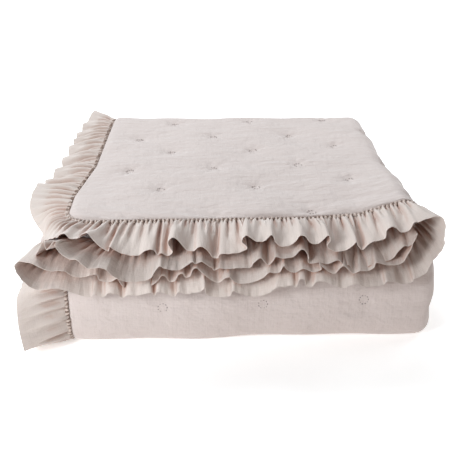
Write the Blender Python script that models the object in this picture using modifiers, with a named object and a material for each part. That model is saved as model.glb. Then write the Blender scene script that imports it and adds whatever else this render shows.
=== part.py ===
# A quilted bedspread with a gathered frill on three sides, folded into twelve layers and lying flat.
# It is folded in half and in half again across its width, then in thirds along its length.
# X runs across the pile, -Y is the front with the frilled foot edge and Z is up, all in metres.

import bisect
import math
from collections import namedtuple

import bmesh
import bpy
from mathutils import Vector

# layers
LAYER_PITCH = 0.0196  # height that one quilted layer takes in the pile
LAYER_GAP = 0.0026  # air between two layers
HALF_THICK = (LAYER_PITCH - LAYER_GAP) / 2
PACK_PITCH = 4 * LAYER_PITCH  # a third of the length, four layers high
BOTTOM_MID = 1.5 * LAYER_PITCH + HALF_THICK  # middle height of the lowest third
EDGE_TAPER = 0.020  # the padding thins out over this distance from a sewn edge
EDGE_SHARE = 0.45  # share of the thickness left at the edge
CORNER_RADIUS = 0.042  # the two rounded corners of the foot edge

# folds along the length
FOOT_Y = -0.034  # the foot edge, at x = 0
SKEW = 0.042  # it and the front fold run back by this share of x
BACK_Y = 0.556  # where the back fold starts to turn
FRONT_Y = -0.036  # where the front fold starts to turn
HEAD_Y = 0.546  # the plain head edge, inside the back fold
BACK_SQUASH = 0.74  # how far a fold reaches out, as a share of its height
FRONT_SQUASH = 0.62
ROUND_TURN = 2.3  # power of the curve of a fold: 2 is an ellipse, more is squarer
SQUARE_TURN = 3.2
SECOND_REACH = 0.026  # the second layer's left corner reaches further forward
REACH_FROM = 0.6  # from this share of the layer's width
REACH_OVER = 0.3
RIGHT_LIFT = 0.045  # the nested folds on the right stand this share higher
LIFT_FROM = 0.12
LIFT_OVER = 0.16
LIFT_FADE = 0.6  # and less so towards the back
FRONT_LIFT = 0.019  # the frill between the layers raises the top pack's front right corner
FRONT_LIFT_FROM = 0.20
FRONT_LIFT_OVER = 0.08
FRONT_LIFT_BACK = 0.26  # it fades out over this distance

# frill
FRILL_DEPTH = 0.088
FRILL_THICK = 0.0018
SEAM_GAP = 0.0012
WAVE_PITCH = 0.048
WAVE_SLIDE = 0.085  # sideways lean of the waves, as a share of their pitch
CROWDING = 0.17  # waves stand off their even places by up to this share of a pitch
CROWD_LENGTH = 0.23
UNEVEN_SWELL = 0.28  # and differ in height by up to this share
FINE_STEPS = 5  # mesh lines in a wave along the foot edge
COARSE_STEPS = 3  # and along the side edges
FOOT_ANCHOR = 0.0  # x at which the foot edge's stacked waves are in step
SIDE_ANCHOR = 0.2  # y at which the side edges' are
STEPS_IN_GUIDE = 24  # fine steps along the edge between two guide rows

# Numbers for the cloth's own coordinates. u counts the runs and turns across the width from the
# first side edge, and v counts those along the length from the foot edge. A fraction is the share
# of that run or turn.
FIRST, OUTER_TURN, FOURTH, LEFT_TURN, THIRD, INNER_TURN, SECOND, WIDTH_END = range(8)
TOP, BACK_TURN, BOTTOM, FRONT_TURN, MIDDLE, LENGTH_END = range(6)

Edges = namedtuple("Edges", "v first_edge second_edge left_fold right_fold")
EDGES = (
    Edges(0.00, -0.300, -0.292, -0.322, 0.280),
    Edges(0.18, -0.307, -0.296, -0.326, 0.279),
    Edges(0.45, -0.295, -0.290, -0.322, 0.276),
    Edges(1.00, -0.308, -0.300, -0.324, 0.276),
    Edges(2.00, -0.304, -0.298, -0.318, 0.296),
    Edges(3.00, -0.300, -0.294, -0.314, 0.308),
    Edges(4.00, -0.300, -0.294, -0.314, 0.308),
    Edges(5.00, -0.302, -0.296, -0.316, 0.298),
)

# places of the mesh lines: shares of each run or turn
ACROSS_STEPS = {
    FIRST: (0, 0.035, 0.12, 0.4, 0.724, 0.862),
    OUTER_TURN: (0, 0.17, 0.33, 0.5, 0.67, 0.83),
    FOURTH: (0, 0.133, 0.266, 0.63),
    LEFT_TURN: (0, 0.25, 0.5, 0.75),
    THIRD: (0, 0.37, 0.734, 0.867),
    INNER_TURN: (0, 0.25, 0.5, 0.75),
    SECOND: (0, 0.14, 0.28, 0.6, 0.8, 0.9, 0.965, 1),
}
ALONG_STEPS = {
    TOP: (0, 0.007, 0.022, 0.045, 0.075, 0.16, 0.30, 0.45),
    BACK_TURN: (0, 0.15, 0.32, 0.5, 0.68, 0.85),
    BOTTOM: (0, 0.5),
    FRONT_TURN: (0, 0.14, 0.3, 0.5, 0.7, 0.86),
    MIDDLE: (0, 0.5, 0.965, 1),
}

def corner_v(degrees):
    """v of a point of the rounded corner: 90 degrees is its end on the side edge, 0 on the foot."""
    return CORNER_RADIUS * (1 - math.cos(math.radians(degrees))) / (BACK_Y - FOOT_Y)


CORNER_30 = corner_v(30)
CORNER_60 = corner_v(60)
CORNER_90 = corner_v(90)

# A guide row says how the frill leaves the edge at one place: the compass way it points (0 is the
# front, -90 the left), its droop below level at the seam and at the hem, and its waves' height.
Guide = namedtuple("Guide", "u v yaw droop tip sway")
FRILL_GUIDES = (
    # the first side edge, from the head to the foot
    Guide(0, 5.00, -90, 4, 34, 0.008),
    Guide(0, 4.00, -86, 6, 34, 0.007),
    Guide(0, 3.50, -76, 4, 10, 0.006),
    Guide(0, 3.00, -84, -2, -2, 0.006),
    Guide(0, 2.50, -88, -2, -2, 0.008),
    Guide(0, 2.00, -88, -2, -2, 0.008),
    Guide(0, 1.70, -96, 4, 8, 0.009),
    Guide(0, 1.35, -98, 2, 8, 0.010),
    Guide(0, 1.10, -94, -6, 0, 0.010),
    Guide(0, 0.85, -88, 3, 18, 0.011),
    Guide(0, 0.60, -90, 4, 22, 0.011),
    Guide(0, 0.20, -95, 5, 25, 0.011),
    # its rounded corner
    Guide(0, CORNER_90, -100, 4, 18, 0.008),
    Guide(0, CORNER_60, -86, 1, 14, 0.007),
    Guide(0, CORNER_30, -70, 0, 12, 0.007),
    Guide(0, 0, -54, -1, 13, 0.008),
    # the foot edge of the first layer, and round the outer fold
    Guide(0.05, 0, -34, 0, 17, 0.010),
    Guide(0.12, 0, -10, 0, 22, 0.013),
    Guide(0.25, 0, 0, 0, 28, 0.014),
    Guide(0.80, 0, 2, 0, 27, 0.014),
    Guide(1.00, 0, 5, 0, 16, 0.009),
    Guide(1.25, 0, 30, -9, -4, 0.004),
    Guide(1.50, 0, 24, 5, 12, 0.000),
    Guide(1.75, 0, 15, 12, 30, 0.003),
    # the fourth layer, and round the left fold
    Guide(2.00, 0, 10, 12, 42, 0.006),
    Guide(2.15, 0, 4, 6, 66, 0.009),
    Guide(2.40, 0, 2, 4, 78, 0.009),
    Guide(2.80, 0, -2, 4, 77, 0.009),
    Guide(3.00, 0, -8, 8, 62, 0.005),
    Guide(3.20, 0, -16, 14, 36, 0.003),
    Guide(3.50, 0, -30, 5, 9, 0.000),
    Guide(3.80, 0, -18, 4, 12, 0.003),
    # the third layer, and round the inner fold
    Guide(4.00, 0, -8, 9, 22, 0.006),
    Guide(4.15, 0, -4, 20, 44, 0.009),
    Guide(4.40, 0, 0, 25, 53, 0.010),
    Guide(4.80, 0, 2, 24, 51, 0.010),
    Guide(5.00, 0, 3, 12, 30, 0.007),
    Guide(5.25, 0, 7, 6, 14, 0.003),
    Guide(5.50, 0, 11, -1, 2, 0.000),
    Guide(5.75, 0, 9, 1, 8, 0.002),
    # the second layer
    Guide(6.00, 0, 5, 7, 24, 0.006),
    Guide(6.20, 0, 2, 15, 41, 0.011),
    Guide(6.75, 0, -1, 15, 40, 0.011),
    Guide(6.88, 0, -4, 11, 30, 0.009),
    # its rounded corner
    Guide(7.00, 0, -12, 6, 24, 0.007),
    Guide(7, CORNER_30, -34, 3, 20, 0.005),
    Guide(7, CORNER_60, -60, -4, 14, 0.004),
    Guide(7, CORNER_90, -80, -5, 26, 0.005),
    # the second side edge, from the foot to the head
    Guide(7, 0.20, -90, -5, 38, 0.006),
    Guide(7, 0.60, -90, -5, 36, 0.006),
    Guide(7, 1.00, -86, -4, 32, 0.006),
    Guide(7, 1.40, -92, 4, 18, 0.005),
    Guide(7, 1.70, -92, 2, 6, 0.005),
    Guide(7, 2.00, -88, -3, -5, 0.005),
    Guide(7, 2.50, -88, -3, -5, 0.006),
    Guide(7, 3.00, -86, -3, -5, 0.005),
    Guide(7, 3.50, -84, 2, 12, 0.004),
    Guide(7, 4.00, -88, 2, 40, 0.004),
    Guide(7, 5.00, -90, -2, 40, 0.005),
)


def clamp(value):
    return min(max(value, 0.0), 1.0)


def smooth(value):
    t = clamp(value)
    return t * t * (3 - 2 * t)


def edges_at(v):
    for low, high in zip(EDGES, EDGES[1:]):
        if v <= high.v:
            share = (v - low.v) / (high.v - low.v)
            return Edges(*(a + (b - a) * share for a, b in zip(low, high)))
    return EDGES[-1]


def foot_distance(v):
    return v * (BACK_Y - FOOT_Y) if v < BACK_TURN else CORNER_RADIUS


def head_distance(v):
    return (LENGTH_END - v) * (HEAD_Y - FRONT_Y) if v > MIDDLE else EDGE_TAPER


def corner_inset(v):
    left = max(CORNER_RADIUS - foot_distance(v), 0.0)
    return CORNER_RADIUS - math.sqrt(CORNER_RADIUS**2 - left**2)


def taper(distance):
    near = 1 - clamp(distance / EDGE_TAPER)
    return EDGE_SHARE + (1 - EDGE_SHARE) * math.sqrt(1 - near * near)


def half_turn(share, reach, rise, power):
    """(out, up) on half of a rounded rectangle, from its top to its bottom."""
    angle = math.pi * (0.5 - share)
    out = reach * max(math.cos(angle), 0.0) ** (2 / power)
    up = rise * abs(math.sin(angle)) ** (2 / power)
    return out, math.copysign(up, math.sin(angle))


def across(u, v, side):
    """x of a point, and its height over the middle of its pack. side is -1 to 1 through the cloth."""
    run = min(int(u), SECOND)
    share = u - run
    row = edges_at(v)
    left = {
        FIRST: row.first_edge + corner_inset(v),
        SECOND: row.second_edge + corner_inset(v),
    }
    from_side = EDGE_TAPER
    if run == FIRST:
        x = left[FIRST] + share * (row.right_fold - left[FIRST])
        from_side = x - left[FIRST]
    elif run in (FOURTH, SECOND):
        end = left.get(run, row.left_fold)
        x = row.right_fold + share * (end - row.right_fold)
        from_side = x - end if run == SECOND else EDGE_TAPER
    elif run == THIRD:
        x = row.left_fold + share * (row.right_fold - row.left_fold)
    thin = min(taper(from_side), taper(foot_distance(v)), taper(head_distance(v)))
    w = side * HALF_THICK * thin
    outer, inner = 1.5 * LAYER_PITCH, 0.5 * LAYER_PITCH
    if run == OUTER_TURN:
        out, height = half_turn(share, outer + w, outer + w, 2)
        return row.right_fold + out, height
    if run == LEFT_TURN:
        out, height = half_turn(1 - share, inner + w, inner + w, 2)
        return row.left_fold - out, height - LAYER_PITCH
    if run == INNER_TURN:
        out, height = half_turn(1 - share, inner - w, inner - w, 2)
        return row.right_fold + out, height
    height = {FIRST: outer + w, FOURTH: -outer - w, THIRD: -inner + w, SECOND: inner - w}
    return x, height[run]


def lift_at(x, y, z):
    """How far the bulk of the folds on the right raises a point."""
    lift = RIGHT_LIFT * clamp((x - LIFT_FROM) / LIFT_OVER) * (1 - LIFT_FADE * clamp(y / BACK_Y))
    near_front = 1 - smooth((y - FOOT_Y) / FRONT_LIFT_BACK)
    in_top = smooth((z - BOTTOM_MID - PACK_PITCH) / PACK_PITCH)
    corner = FRONT_LIFT * clamp((x - FRONT_LIFT_FROM) / FRONT_LIFT_OVER) * near_front * in_top
    return z * lift + corner


def cloth_point(u, v, side):
    """Where a point of the cloth lies once it is folded."""
    x, height = across(u, v, side)
    run = min(int(v), MIDDLE)
    share = v - run
    foot_y = FOOT_Y + SKEW * x
    foot_y -= SECOND_REACH * clamp((u - SECOND - REACH_FROM) / REACH_OVER)
    front_y = FRONT_Y + SKEW * x
    if run == TOP:
        y = foot_y + share * (BACK_Y - foot_y)
        z = BOTTOM_MID + 2 * PACK_PITCH + height
    elif run == BACK_TURN:
        rise = PACK_PITCH + height
        out, up = half_turn(share, BACK_SQUASH * rise, rise, ROUND_TURN)
        y = BACK_Y + out
        z = BOTTOM_MID + PACK_PITCH + up
    elif run == BOTTOM:
        y = BACK_Y + share * (front_y - BACK_Y)
        z = BOTTOM_MID - height
    elif run == FRONT_TURN:
        rise = PACK_PITCH / 2 + height
        power = SQUARE_TURN if share < 0.5 else ROUND_TURN
        out, up = half_turn(1 - share, FRONT_SQUASH * rise, rise, power)
        y = front_y - out
        z = BOTTOM_MID + PACK_PITCH / 2 + up
    else:
        y = front_y + share * (HEAD_Y - front_y)
        z = BOTTOM_MID + PACK_PITCH + height
    return Vector((x, y, z + lift_at(x, y, z)))


def steps(table, end):
    return [run + share for run, shares in table.items() for share in shares if run + share <= end]


def new_part(name, bm, collection, material):
    mesh = bpy.data.meshes.new(name)
    bm.to_mesh(mesh)
    bm.free()
    mesh.materials.append(material)
    obj = bpy.data.objects.new(name, mesh)
    collection.objects.link(obj)
    return obj


def cloth_material(name, colour, roughness):
    material = bpy.data.materials.new(name)
    material.use_nodes = True
    shader = material.node_tree.nodes["Principled BSDF"]
    shader.inputs["Base Color"].default_value = (*colour, 1.0)
    shader.inputs["Roughness"].default_value = roughness
    shader.inputs["Metallic"].default_value = 0.0
    return material


def column_at(x, columns):
    return columns[round((x + 0.5) * (len(columns) - 1))]


def split_alike(bm, columns):
    """Splits each square of the skins in two so that the cuts of stacked layers lie over each other."""
    for face in list(bm.faces):
        low = min(corner.co.x for corner in face.verts)
        high = max(corner.co.x for corner in face.verts)
        if len({corner.co.z for corner in face.verts}) > 1:
            continue
        turned = int(column_at(low, columns)) in (FOURTH, SECOND)
        order = sorted(face.verts, key=lambda corner: (corner.co.y, corner.co.x))
        ends = (order[1], order[2]) if turned else (order[0], order[3])
        if high > low:
            bmesh.utils.face_split(face, *ends)


def build_panel(collection, material):
    """A flat slab, cut from a grid, whose every corner is then moved to its folded place."""
    columns = steps(ACROSS_STEPS, WIDTH_END)
    rows = steps(ALONG_STEPS, LENGTH_END)
    bm = bmesh.new()
    bmesh.ops.create_grid(bm, x_segments=len(columns) - 1, y_segments=len(rows) - 1, size=0.5)
    raised = bmesh.ops.extrude_face_region(bm, geom=bm.faces[:])["geom"]
    for corner in raised:
        if isinstance(corner, bmesh.types.BMVert):
            corner.co.z += 1
    split_alike(bm, columns)
    for corner in bm.verts:
        u = column_at(corner.co.x, columns)
        v = rows[round((corner.co.y + 0.5) * (len(rows) - 1))]
        corner.co = cloth_point(u, v, 1 if corner.co.z > 0.5 else -1)
    bmesh.ops.recalc_face_normals(bm, faces=bm.faces[:])
    return new_part("quilted_panel", bm, collection, material)


def is_turning(u, v):
    """True where the sewn edge goes round a fold or a rounded corner, and False on its level runs."""
    if FIRST < u < WIDTH_END:
        return int(u) in (OUTER_TURN, LEFT_TURN, INNER_TURN)
    return v < CORNER_90 or int(v) in (BACK_TURN, FRONT_TURN)


class EdgeLine:
    """The sewn edge as a line in space, with the frill's guide values at any distance along it."""

    def __init__(self, guides):
        self.places = []
        self.guides = []
        for low, high in zip(guides, guides[1:]):
            for step in range(STEPS_IN_GUIDE):
                share = step / STEPS_IN_GUIDE
                self.add(Guide(*(a + (b - a) * share for a, b in zip(low, high))))
        self.add(guides[-1])
        self.lengths = [0.0]
        for a, b in zip(self.places, self.places[1:]):
            self.lengths.append(self.lengths[-1] + (b - a).length)
        self.total = self.lengths[-1]
        self.phases = [length / WAVE_PITCH for length in self.lengths]
        self.keep_layers_in_step()

    def add(self, guide):
        u = min(guide.u, WIDTH_END - 1e-6)
        v = min(guide.v, LENGTH_END - 1e-6)
        self.places.append(cloth_point(u, v, 0))
        self.guides.append(guide)

    def runs(self):
        """The level runs of the edge, each as a list of places along it."""
        found = [[]]
        for i, guide in enumerate(self.guides):
            if is_turning(guide.u, guide.v):
                if found[-1]:
                    found.append([])
            else:
                found[-1].append(i)
        return [run for run in found if len(run) > STEPS_IN_GUIDE // 2]

    def keep_layers_in_step(self):
        """Shifts the waves on each run so that those of stacked layers nest, easing the shift in turns."""
        known = []
        for run in self.runs():
            guide = self.guides[run[len(run) // 2]]
            on_foot = FIRST < guide.u < WIDTH_END
            axis, where = (0, FOOT_ANCHOR) if on_foot else (1, SIDE_ANCHOR)
            nearest = min(run, key=lambda i: abs(self.places[i][axis] - where))
            face_down = int(guide.u) in (FOURTH, SECOND) or guide.u > SECOND
            wanted = 0.5 if face_down else 0.0
            miss = (wanted - self.phases[nearest]) % 1.0
            shift = miss if miss < 0.5 else miss - 1.0
            known += [(run[0], shift), (run[-1], shift)]
        known = [(0, known[0][1])] + known + [(len(self.places) - 1, known[-1][1])]
        for (low, before), (high, after) in zip(known, known[1:]):
            for i in range(low, high):
                share = (self.lengths[i] - self.lengths[low]) / (self.lengths[high] - self.lengths[low])
                self.phases[i] += before + (after - before) * share
        self.phases[-1] += known[-1][1]

    def at(self, distance):
        """The place, the guide values and the number of waves so far at this distance."""
        high = min(max(bisect.bisect_left(self.lengths, distance), 1), len(self.lengths) - 1)
        low = high - 1
        share = (distance - self.lengths[low]) / max(self.lengths[high] - self.lengths[low], 1e-9)
        guide = Guide(*(a + (b - a) * share for a, b in zip(self.guides[low], self.guides[high])))
        phase = self.phases[low] + (self.phases[high] - self.phases[low]) * share
        return self.places[low].lerp(self.places[high], share), guide, phase

    def tangent(self, distance, reach=0.006):
        ahead = self.at(min(distance + reach, self.total))[0]
        behind = self.at(max(distance - reach, 0.0))[0]
        return (ahead - behind).normalized()

    def columns(self):
        """Distances of the mesh lines, closer together along the foot edge and its corners."""
        found = [0.0]
        while found[-1] < self.total:
            guide = self.at(found[-1])[1]
            fine = FIRST < guide.u < WIDTH_END or guide.v < CORNER_90
            found.append(found[-1] + WAVE_PITCH / (FINE_STEPS if fine else COARSE_STEPS))
        return [distance * self.total / found[-1] for distance in found]


def fall(yaw, droop):
    """The way a frill points, from its compass way and its angle below level."""
    yaw, droop = math.radians(yaw), math.radians(droop)
    level = math.cos(droop)
    return Vector((math.sin(yaw) * level, -math.cos(yaw) * level, -math.sin(droop)))


def crowding(place, guide):
    """Some waves are pressed together and others spread, alike in all the layers of the pile."""
    on_foot = FIRST < guide.u < WIDTH_END
    along = place.x if on_foot else place.y
    faces_up = guide.u < 1.5 or 3.5 < guide.u < 5.5
    return (1 if faces_up else -1) * CROWDING * math.sin(math.tau * along / CROWD_LENGTH)


def frill_point(line, distance, share):
    """A point of the frill. share is 0 at the seam and 1 at the hem."""
    place, guide, phase = line.at(distance)
    tangent = line.tangent(distance)
    here = guide.droop + (guide.tip - guide.droop) * share
    chord = fall(guide.yaw, (guide.droop + here) / 2)
    upward = fall(guide.yaw, here).cross(tangent).normalized()
    phase += crowding(place, guide)
    uneven = 1 + UNEVEN_SWELL * math.sin(0.9 * phase + 1.3)
    swell = guide.sway * uneven * share**1.3 * math.cos(math.tau * phase)
    slide = WAVE_SLIDE * WAVE_PITCH * share * math.sin(2 * math.tau * phase)
    slide *= clamp(guide.sway / 0.010)
    start = place + fall(guide.yaw, 0) * SEAM_GAP
    return start + chord * share * FRILL_DEPTH + upward * swell + tangent * slide


def build_frill(collection, material):
    """The whole gathered strip: a grid along the seam, waved and drooped, then given its thickness."""
    line = EdgeLine(FRILL_GUIDES)
    columns = line.columns()
    bm = bmesh.new()
    bmesh.ops.create_grid(bm, x_segments=len(columns) - 1, y_segments=2, size=0.5)
    for corner in bm.verts:
        distance = columns[round((corner.co.x + 0.5) * (len(columns) - 1))]
        corner.co = frill_point(line, distance, 0.5 - corner.co.y)
    obj = new_part("frill", bm, collection, material)
    wall = obj.modifiers.new("Cloth thickness", "SOLIDIFY")
    wall.thickness = FRILL_THICK
    wall.offset = 0
    return obj


def centre_on_floor(objects):
    """Moves the cloth so that the middle of its box's underside is the origin."""
    bpy.context.view_layer.update()
    graph = bpy.context.evaluated_depsgraph_get()
    corners = []
    for obj in objects:
        corners += [Vector(corner) for corner in obj.evaluated_get(graph).bound_box]
    lowest = [min(corner[axis] for corner in corners) for axis in range(3)]
    highest = [max(corner[axis] for corner in corners) for axis in range(3)]
    shift = Vector(((lowest[0] + highest[0]) / 2, (lowest[1] + highest[1]) / 2, lowest[2]))
    for obj in objects:
        for corner in obj.data.vertices:
            corner.co -= shift
    print("moved by", [round(value, 5) for value in shift])


def main():
    for obj in list(bpy.data.objects):
        bpy.data.objects.remove(obj, do_unlink=True)
    collection = bpy.data.collections.new("bedspread")
    bpy.context.scene.collection.children.link(collection)
    panel_cloth = cloth_material("quilted_cloth", (0.72, 0.66, 0.64), 0.92)
    frill_cloth = cloth_material("frill_cloth", (0.73, 0.66, 0.61), 0.92)
    parts = [build_panel(collection, panel_cloth), build_frill(collection, frill_cloth)]
    centre_on_floor(parts)


main()
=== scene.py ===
import math

import bpy
import numpy as np
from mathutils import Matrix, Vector
from mathutils.bvhtree import BVHTree


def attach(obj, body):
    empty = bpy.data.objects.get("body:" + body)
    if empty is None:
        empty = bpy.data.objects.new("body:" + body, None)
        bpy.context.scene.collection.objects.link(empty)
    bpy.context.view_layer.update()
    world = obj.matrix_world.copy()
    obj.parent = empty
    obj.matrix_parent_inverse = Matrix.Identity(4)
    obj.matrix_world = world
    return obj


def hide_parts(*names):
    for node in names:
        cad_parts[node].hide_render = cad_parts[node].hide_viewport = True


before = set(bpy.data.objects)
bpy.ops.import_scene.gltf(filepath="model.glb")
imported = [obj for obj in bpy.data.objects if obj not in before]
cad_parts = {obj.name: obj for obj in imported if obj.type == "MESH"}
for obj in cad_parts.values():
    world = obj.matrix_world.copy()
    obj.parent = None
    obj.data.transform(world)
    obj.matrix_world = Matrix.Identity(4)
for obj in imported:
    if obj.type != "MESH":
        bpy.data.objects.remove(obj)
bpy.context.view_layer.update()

tau = 2 * math.pi

# the solids' fold, in metres, with a squarer front turn and a bulge on the left added
fold = {
    "layerPitch": 0.0196,
    "halfThick": 0.0085,
    "packPitch": 0.0784,
    "bottomMid": 0.0379,
    "cornerRadius": 0.042,
    "footY": -0.034,
    "skew": 0.042,
    "backY": 0.556,
    "frontY": -0.036,
    "headY": 0.546,
    "backSquash": 0.74,
    "frontSquash": 0.62,
    "roundTurn": 2.3,
    "squareTurn": 3.2,
    "secondReach": 0.026,
    "edgeTaper": 0.020,
    "edgeShare": 0.30,
    "squarer": 0.9,  # the pack's outer turn, low down at the front
    "rightLift": 0.045,
    "rightLiftFrom": 0.12,
    "rightLiftOver": 0.16,
    "rightLiftLost": 0.6,
    "cornerLift": 0.019,
    "cornerLiftFrom": 0.20,
    "cornerLiftOver": 0.08,
    "cornerLiftBack": 0.26,
    "leftBulge": 0.012,
    "leftRise": 0.005,
    "shift": (-0.02511, 0.24798, 0.0),  # from the fold's own zero to the middle of the floor
}
# v, first side edge, second side edge, left fold, right fold
edgeRows = np.array((
    (0.00, -0.300, -0.292, -0.322, 0.280),
    (0.18, -0.307, -0.296, -0.326, 0.279),
    (0.45, -0.295, -0.290, -0.322, 0.276),
    (1.00, -0.308, -0.300, -0.324, 0.276),
    (2.00, -0.304, -0.298, -0.318, 0.296),
    (3.00, -0.300, -0.294, -0.314, 0.308),
    (4.00, -0.300, -0.294, -0.314, 0.308),
    (5.00, -0.302, -0.296, -0.316, 0.298),
))


def unit(vectors):
    return vectors / np.maximum(np.linalg.norm(vectors, axis=-1, keepdims=True), 1e-9)


def clamp(value):
    return np.clip(value, 0.0, 1.0)


def smooth(value):
    t = clamp(value)
    return t * t * (3 - 2 * t)


def cornerInset(v):
    far = np.where(v < 1, v * (fold["backY"] - fold["footY"]), fold["cornerRadius"])
    left = np.maximum(fold["cornerRadius"] - far, 0)
    return fold["cornerRadius"] - np.sqrt(fold["cornerRadius"] ** 2 - left ** 2)


def thinning(distance):
    near = 1 - clamp(distance / fold["edgeTaper"])
    return fold["edgeShare"] + (1 - fold["edgeShare"]) * np.sqrt(1 - near * near)


def halfTurn(share, reach, rise, power):
    angle = math.pi * (0.5 - share)
    out = reach * np.maximum(np.cos(angle), 0) ** (2 / power)
    up = rise * np.abs(np.sin(angle)) ** (2 / power)
    return out, np.copysign(up, np.sin(angle))


def foldedPoint(u, v, side, raised=0.0):
    # u counts runs and turns across the width, v those along the length, side goes through the cloth
    u, v, side = np.broadcast_arrays(*(np.asarray(value, float) for value in (u, v, side)))
    run = np.minimum(np.floor(u), 6)
    share = u - run
    first, second, left, right = (np.interp(v, edgeRows[:, 0], column) for column in edgeRows.T[1:])
    inset = cornerInset(v)
    first, second = first + inset, second + inset
    xFirst = first + share * (right - first)
    xFourth = right + share * (left - right)
    xThird = left + share * (right - left)
    xSecond = right + share * (second - right)
    footDistance = np.where(v < 1, v * (fold["backY"] - fold["footY"]), 1)
    headDistance = np.where(v > 4, (5 - v) * (fold["headY"] - fold["frontY"]), 1)
    sideDistance = np.select([run == 0, run == 6], [xFirst - first, xSecond - second], 1)
    thin = thinning(np.minimum(np.minimum(footDistance, headDistance), sideDistance))
    w = side * fold["halfThick"] * thin + raised
    outer, inner = 1.5 * fold["layerPitch"], 0.5 * fold["layerPitch"]
    power = 2 + fold["squarer"] * smooth((v - 1.2) / 0.8) * (1 - smooth((v - 3.9) / 0.3))
    outOuter, upOuter = halfTurn(share, outer + w, outer + w, power)
    outLeft, upLeft = halfTurn(1 - share, inner + w, inner + w, 2)
    outInner, upInner = halfTurn(1 - share, inner - w, inner - w, 2)
    which = [run == k for k in range(7)]
    x = np.select(which, [
        xFirst, right + outOuter, xFourth, left - outLeft, xThird, right + outInner, xSecond])
    h = np.select(which, [
        outer + w, upOuter, -outer - w, upLeft - 2 * inner, -inner + w, upInner, inner - w])
    # the fold in three along the length
    run = np.minimum(np.floor(v), 4)
    share = v - run
    reach = clamp((u - 6.6) / 0.3)
    footY = fold["footY"] + fold["skew"] * x - fold["secondReach"] * reach
    frontY = fold["frontY"] + fold["skew"] * x
    pack, mid = fold["packPitch"], fold["bottomMid"]
    outBack, upBack = halfTurn(share, fold["backSquash"] * (pack + h), pack + h, fold["roundTurn"])
    power = np.where(share < 0.5, fold["squareTurn"], fold["roundTurn"])
    bend = pack / 2 + h
    outFront, upFront = halfTurn(1 - share, fold["frontSquash"] * bend, bend, power)
    which = [run == k for k in range(5)]
    y = np.select(which, [
        footY + share * (fold["backY"] - footY), fold["backY"] + outBack,
        fold["backY"] + share * (frontY - fold["backY"]), frontY - outFront,
        frontY + share * (fold["headY"] - frontY)])
    z = np.select(which, [
        mid + 2 * pack + h, mid + pack + upBack, mid - h, mid + pack / 2 + upFront, mid + pack + h])
    # the bulk of the folds on the right lifts what is over them
    lift = fold["rightLift"] * clamp((x - fold["rightLiftFrom"]) / fold["rightLiftOver"])
    lift = lift * (1 - fold["rightLiftLost"] * clamp(y / fold["backY"]))
    corner = clamp((x - fold["cornerLiftFrom"]) / fold["cornerLiftOver"])
    corner = corner * (1 - smooth((y - fold["footY"]) / fold["cornerLiftBack"]))
    z = z + z * lift + fold["cornerLift"] * corner * smooth((z - mid - pack) / pack)
    # the small fold on the left bulges out and up where nothing lies on it
    atFoot = 1 - smooth(v / 0.3)
    x = x - fold["leftBulge"] * smooth((u - 2.75) / 0.5) * (1 - smooth((u - 3.8) / 0.3)) * atFoot
    z = z + fold["leftRise"] * smooth((u - 2.95) / 0.8) * (1 - smooth((u - 3.95) / 0.14)) * atFoot
    return np.stack([x, y, z], axis=-1) - np.array(fold["shift"])


def placed(name, data):
    thing = bpy.data.objects.new(name, data)
    bpy.context.scene.collection.objects.link(thing)
    return thing


def readAll(items, key, width, kind):
    values = np.empty(len(items) * width, kind)
    items.foreach_get(key, values)
    return values.reshape(-1, width)


def newMesh(name, points, faces, uv=None, material=None):
    mesh = bpy.data.meshes.new(name)
    mesh.from_pydata(points.tolist(), [], faces.tolist())
    if uv is not None:
        layer = mesh.uv_layers.new(name="clothFlat")
        corners = readAll(mesh.loops, "vertex_index", 1, np.int32)[:, 0]
        layer.data.foreach_set("uv", uv[corners].astype(np.float32).ravel())
    mesh.polygons.foreach_set("use_smooth", np.ones(len(mesh.polygons), bool))
    if material:
        mesh.materials.append(material)
    mesh.update()
    return placed(name, mesh)


def gridFaces(rows, columns, start=0):
    i = np.arange(rows - 1)[:, None] * columns + np.arange(columns - 1)[None, :]
    return np.stack([i, i + 1, i + 1 + columns, i + columns], axis=-1).reshape(-1, 4) + start


def closedCloth(name, front, back, uv, material):
    # two skins of a grid and the narrow strip round its edge
    rows, columns = front.shape[:2]
    count = rows * columns
    points = np.concatenate([front.reshape(-1, 3), back.reshape(-1, 3)])
    top = gridFaces(rows, columns)
    under = gridFaces(rows, columns, count)[:, ::-1]
    index = np.arange(count).reshape(rows, columns)
    ring = np.concatenate([index[0, :], index[1:, -1], index[-1, -2::-1], index[-2:0:-1, 0]])
    after = np.roll(ring, -1)
    rim = np.stack([ring, ring + count, after + count, after], axis=-1)
    faces = np.concatenate([top, under, rim])
    piece = newMesh(name, points, faces, np.concatenate([uv.reshape(-1, 2)] * 2), material)
    # crisp cut edges: the two lines of the rim are marked sharp
    onRim = np.zeros(2 * count, bool)
    onRim[ring] = onRim[ring + count] = True
    ends = readAll(piece.data.edges, "vertices", 2, np.int32)
    sharp = onRim[ends].all(axis=1) & ((ends[:, 0] < count) == (ends[:, 1] < count))
    piece.data.edges.foreach_set("use_edge_sharp", sharp)
    return piece


def nodeTree(name):
    material = bpy.data.materials.new(name)
    material.use_nodes = True
    tree = material.node_tree
    tree.nodes.clear()
    return material, tree


def add(tree, kind, **values):
    node = tree.nodes.new(kind)
    for key, value in values.items():
        if key in node.inputs:
            node.inputs[key].default_value = value
        else:
            setattr(node, key, value)
    return node


def link(tree, fromSocket, toSocket):
    tree.links.new(fromSocket, toSocket)


def shaderIn(tree, **values):
    output = add(tree, "ShaderNodeOutputMaterial")
    shader = add(tree, "ShaderNodeBsdfPrincipled", **values)
    link(tree, shader.outputs[0], output.inputs["Surface"])
    return shader


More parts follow.
